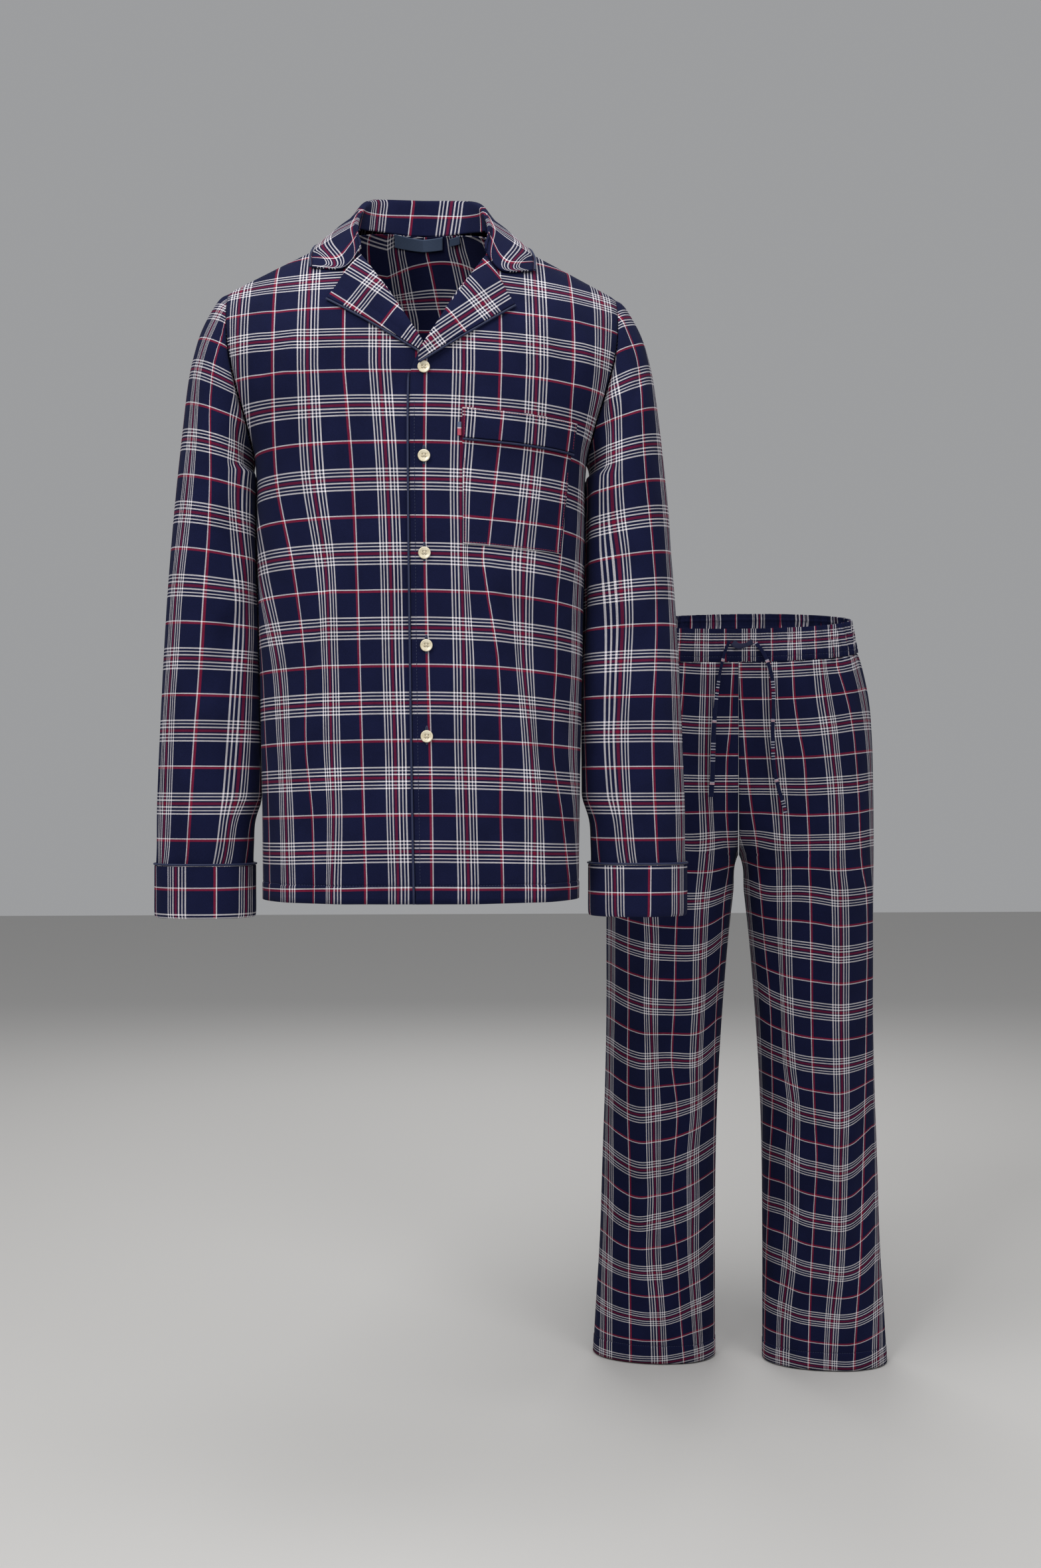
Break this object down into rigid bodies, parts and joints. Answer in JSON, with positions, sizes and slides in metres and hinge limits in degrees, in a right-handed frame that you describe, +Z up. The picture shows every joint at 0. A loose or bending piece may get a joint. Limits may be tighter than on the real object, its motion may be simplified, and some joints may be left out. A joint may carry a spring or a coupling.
{
  "type": "pyjama set of a notched-collar jacket and drawstring trousers",
  "caption": "Checked flannel pyjama set: buttoned jacket with notched collar, piping, chest pocket and turned cuffs, and straight trousers with a gathered drawstring waist.",
  "frame": {"origin": "between the shoulders of the jacket, level with the point where the collar meets the shoulder, where the garment is held", "axes": "+Z up, the front of the jacket faces -Y, the wearer's left is +X; the trousers stand behind, to the wearer's left, turned 10.2 degrees to face the same viewer"},
  "size_m": [0.944, 0.7804, 1.4758],
  "materials": {
    "flannel": "brushed cotton flannel, navy ground with white and burgundy checks, soft matt nap",
    "piping": "corded navy cotton piping with a faint satin sheen",
    "button": "cream four-hole shirt buttons, softly mottled and polished",
    "label": "plain woven navy label",
    "woven_tab": "small woven tab in plain blocks of grey blue and red",
    "tie": "flat self-fabric drawstring, mostly navy where it shows"
  },
  "bodies": {
    "root": {"front_left": "flannel", "front_right": "flannel", "back": "flannel", "sleeve_left": "flannel", "sleeve_right": "flannel", "cuff_left": "flannel", "cuff_right": "flannel", "collar": "flannel", "lapel_left": "flannel", "lapel_right": "flannel", "pocket": "flannel", "pocket_band": "flannel", "pocket_tab": "woven_tab", "neck_label": "label", "size_tab": "label", "piping_front": "piping", "piping_collar": "piping", "piping_lapel_left": "piping", "piping_lapel_right": "piping", "piping_pocket": "piping", "piping_cuff_left": "piping", "piping_cuff_right": "piping", "button_1": "button", "button_2": "button", "button_3": "button", "button_4": "button", "button_5": "button", "leg_front_left": "flannel", "leg_front_right": "flannel", "leg_back_left": "flannel", "leg_back_right": "flannel", "waistband_front": "flannel", "waistband_back": "flannel", "drawstring_bow": "tie", "drawstring_left": "tie", "drawstring_right": "tie"}
  },
  "joints": []
}
